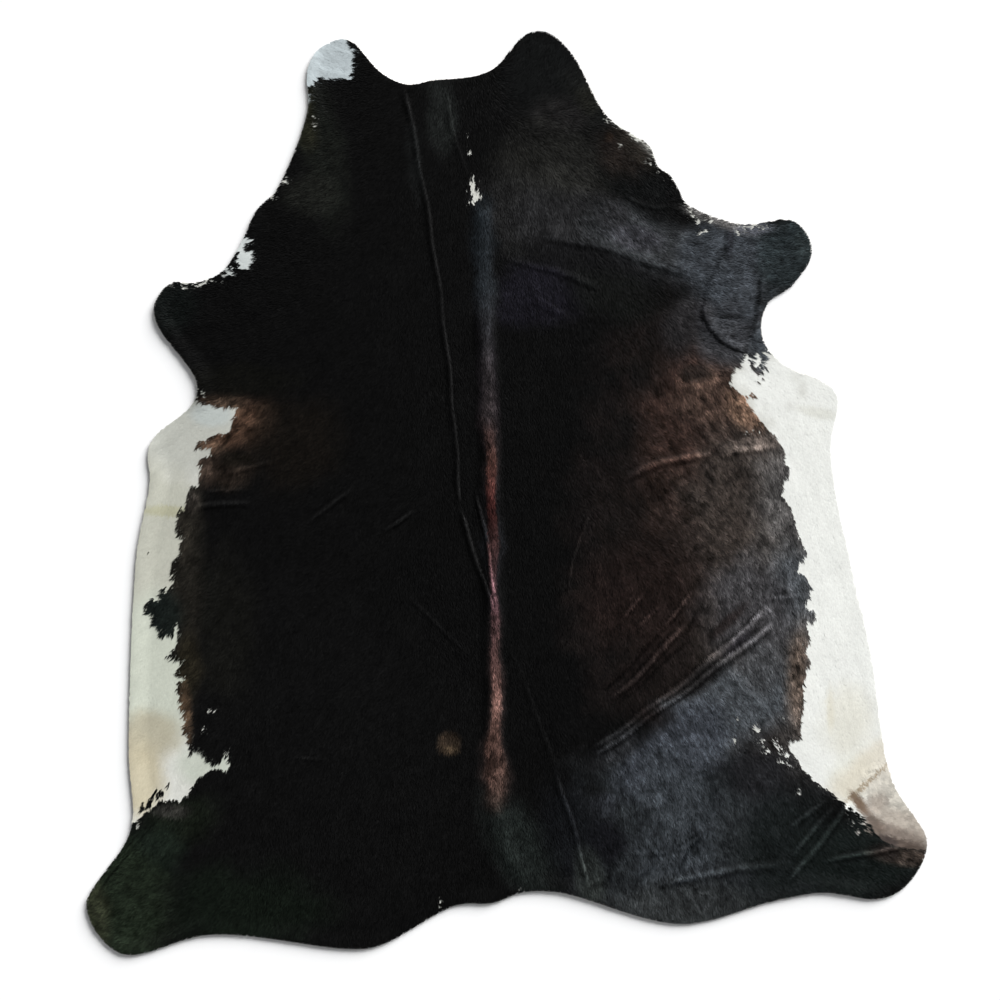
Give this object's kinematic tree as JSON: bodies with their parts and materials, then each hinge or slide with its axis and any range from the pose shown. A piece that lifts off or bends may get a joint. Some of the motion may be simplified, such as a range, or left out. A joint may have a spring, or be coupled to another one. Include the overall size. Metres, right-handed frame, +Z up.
{
  "type": "cowhide rug",
  "caption": "Whole hair-on cowhide rug lying flat, mostly black and dark brown with white flanks, low natural folds along the spine, shoulder and hip.",
  "frame": {"origin": "middle of the hide's length and width, on the floor it lies on", "axes": "+Y along the spine toward the neck, +X toward the hide's right side as seen from above, +Z up from the floor"},
  "size_m": [2, 2.2, 0.0175],
  "materials": {
    "hide": "short glossy cow hair, near black with dark brown and slate sheen, white flanks; suede underside"
  },
  "bodies": {
    "root": {"hide": "hide"}
  },
  "joints": []
}
